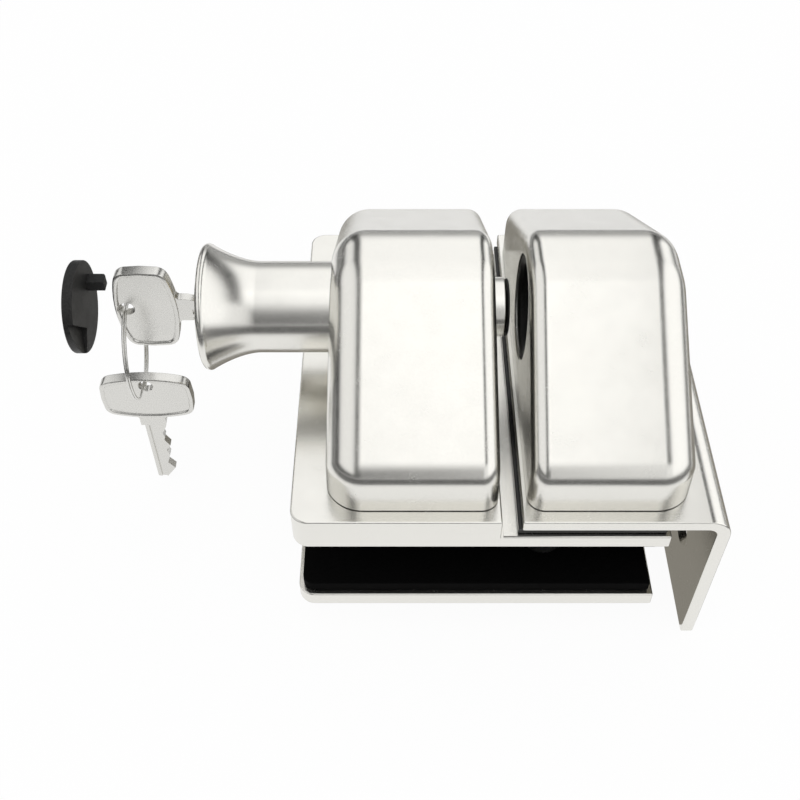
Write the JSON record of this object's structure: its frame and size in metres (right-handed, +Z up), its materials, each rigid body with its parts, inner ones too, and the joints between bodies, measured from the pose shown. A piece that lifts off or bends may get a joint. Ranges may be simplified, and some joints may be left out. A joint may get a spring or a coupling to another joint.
{
  "type": "glass gate latch",
  "caption": "Glass gate latch: clamp for a frameless glass gate with a key-locked pull knob and sliding bolt, and a folded wall keeper with a strike cup.",
  "frame": {"origin": "on the face of the base gasket that meets the glass, below the step of the base plate and in the plane of the bolt", "axes": "+X along the bolt from the gate to the wall, +Y to the rear along the plates, +Z up, out of the glass"},
  "size_m": [0.1545, 0.1, 0.0856],
  "materials": {
    "satin_steel": "satin",
    "turned_steel": "turned satin",
    "screw_steel": "plain",
    "key_steel": "nickel plated",
    "ring_steel": "bright drawn wire",
    "plug_brass": "machined",
    "magnet": "sintered",
    "gasket_rubber": "matt",
    "black_plastic": "fine grain"
  },
  "bodies": {
    "fixed_halves": {"base_plate": "satin_steel", "base_gasket": "gasket_rubber", "clamp_plate": "satin_steel", "clamp_gasket": "gasket_rubber", "clamp_screw_front": "screw_steel", "clamp_screw_rear": "screw_steel", "screw_sleeve_front": "black_plastic", "screw_sleeve_rear": "black_plastic", "buffer_strip": "gasket_rubber", "latch_housing": "satin_steel", "latch_screw_front": "screw_steel", "latch_screw_rear": "screw_steel", "knob_bush": "black_plastic", "bolt_bush": "black_plastic", "return_spring": "screw_steel", "keeper_bracket": "satin_steel", "keeper_housing": "satin_steel", "keeper_screw_front": "screw_steel", "keeper_screw_rear": "screw_steel", "strike_cup": "black_plastic", "keeper_magnet": "magnet"},
    "knob_and_bolt": {"knob": "turned_steel", "stop_ring": "screw_steel", "latch_bolt": "turned_steel", "bolt_face": "black_plastic", "bolt_screw": "screw_steel", "knob_cap": "black_plastic", "lock_barrel": "turned_steel"},
    "lock_core": {"lock_plug": "plug_brass", "lock_cam": "screw_steel", "cam_screw": "screw_steel", "key_in_lock": "key_steel"},
    "ring": {"key_ring": "ring_steel"},
    "hanging_key": {"spare_key": "key_steel"}
  },
  "joints": [
    {"name": "bolt_travel", "type": "slide", "parent": "fixed_halves", "child": "knob_and_bolt", "axis": [1, 0, 0], "range_m": [0, 0.012], "stiffness_N_per_m": 40, "springref_m": -0.004, "deforming": ["return_spring"]},
    {"name": "key_turn", "type": "hinge", "parent": "knob_and_bolt", "child": "lock_core", "pos_m": [-0.0675, 0, 0.03225], "axis": [1, 0, 0], "range_deg": [0, 90]},
    {"name": "ring_swing", "type": "hinge", "parent": "lock_core", "child": "ring", "pos_m": [-0.08925, 0, 0.0318], "axis": [0, 1, 0], "range_deg": [-10, 20]},
    {"name": "spare_key_swing", "type": "hinge", "parent": "ring", "child": "hanging_key", "pos_m": [-0.08925, 0, 0.0056], "axis": [0, 1, 0], "range_deg": [-15, 20]}
  ]
}
